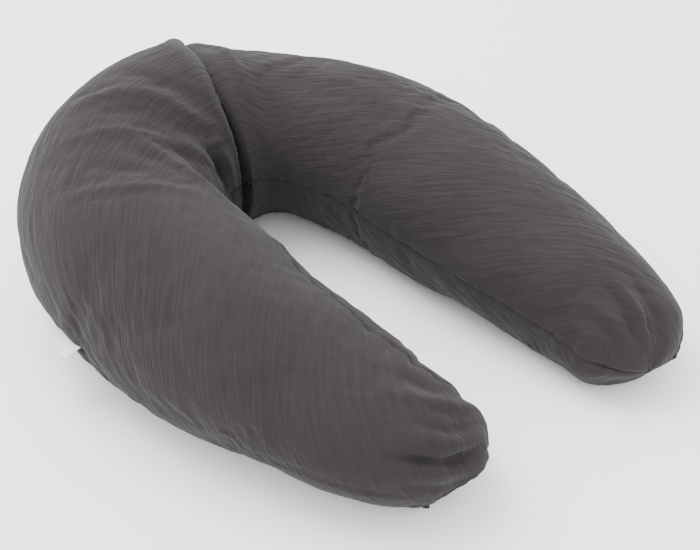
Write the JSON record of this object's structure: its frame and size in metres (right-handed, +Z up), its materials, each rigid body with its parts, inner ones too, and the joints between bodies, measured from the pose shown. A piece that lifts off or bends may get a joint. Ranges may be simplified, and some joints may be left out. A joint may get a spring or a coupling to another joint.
{
  "type": "nursing pillow",
  "caption": "Long C-shaped nursing and maternity pillow: a crinkled muslin cover with a zip around an inner bag of micro beads, folded at its middle.",
  "frame": {"origin": "middle of the bounding box, on the surface that the pillow lies on", "axes": "+Z up, across the flattened pillow; the bend of the C is at +Y and both arms open to -Y; +X towards the right arm, seen from above with the bend away from the viewer"},
  "size_m": [0.5924, 0.7437, 0.2437],
  "materials": {
    "cover_muslin": "anthracite double muslin, crinkled, matt",
    "bag_cotton": "plain white woven inner bag",
    "beads": "expanded polystyrene micro beads",
    "zip_tape": "woven polyester zip tape, matt",
    "zip_coil": "nylon coil teeth, satin",
    "zip_metal": "painted die-cast slider, satin",
    "label_satin": "folded white woven label, blank",
    "care_satin": "thin white satin care label, blank"
  },
  "bodies": {
    "left_half": {"cover_top_left": "cover_muslin", "cover_bottom_left": "cover_muslin", "inner_bag_top_left": "bag_cotton", "inner_bag_bottom_left": "bag_cotton", "bead_fill_left": "beads", "zip_tape_upper": "zip_tape", "zip_tape_lower": "zip_tape", "zip_coil_upper": "zip_coil", "zip_coil_lower": "zip_coil", "zip_top_stop_upper": "zip_coil", "zip_top_stop_lower": "zip_coil", "zip_bottom_stop": "zip_coil", "brand_label": "label_satin", "care_label": "care_satin"},
    "right_half": {"cover_top_right": "cover_muslin", "cover_bottom_right": "cover_muslin", "inner_bag_top_right": "bag_cotton", "inner_bag_bottom_right": "bag_cotton", "bead_fill_right": "beads"},
    "zip_slider": {"zip_slider": "zip_metal"},
    "zip_pull_tab": {"zip_pull_tab": "zip_metal"}
  },
  "joints": [
    {"name": "fold_hinge", "type": "hinge", "parent": "left_half", "child": "right_half", "pos_m": [0.08463, 0.35868, 0.10212], "axis": [0, 0, 1], "range_deg": [0, 40]},
    {"name": "zip_travel", "type": "hinge", "parent": "left_half", "child": "zip_slider", "pos_m": [0.00075, 0.08944, 0.10212], "axis": [0, 0, 1], "range_deg": [0, 62.4]},
    {"name": "pull_tab_flip", "type": "hinge", "parent": "zip_slider", "child": "zip_pull_tab", "pos_m": [-0.03877, 0.36941, 0.10212], "axis": [0, 0, -1], "range_deg": [0, 170]}
  ]
}
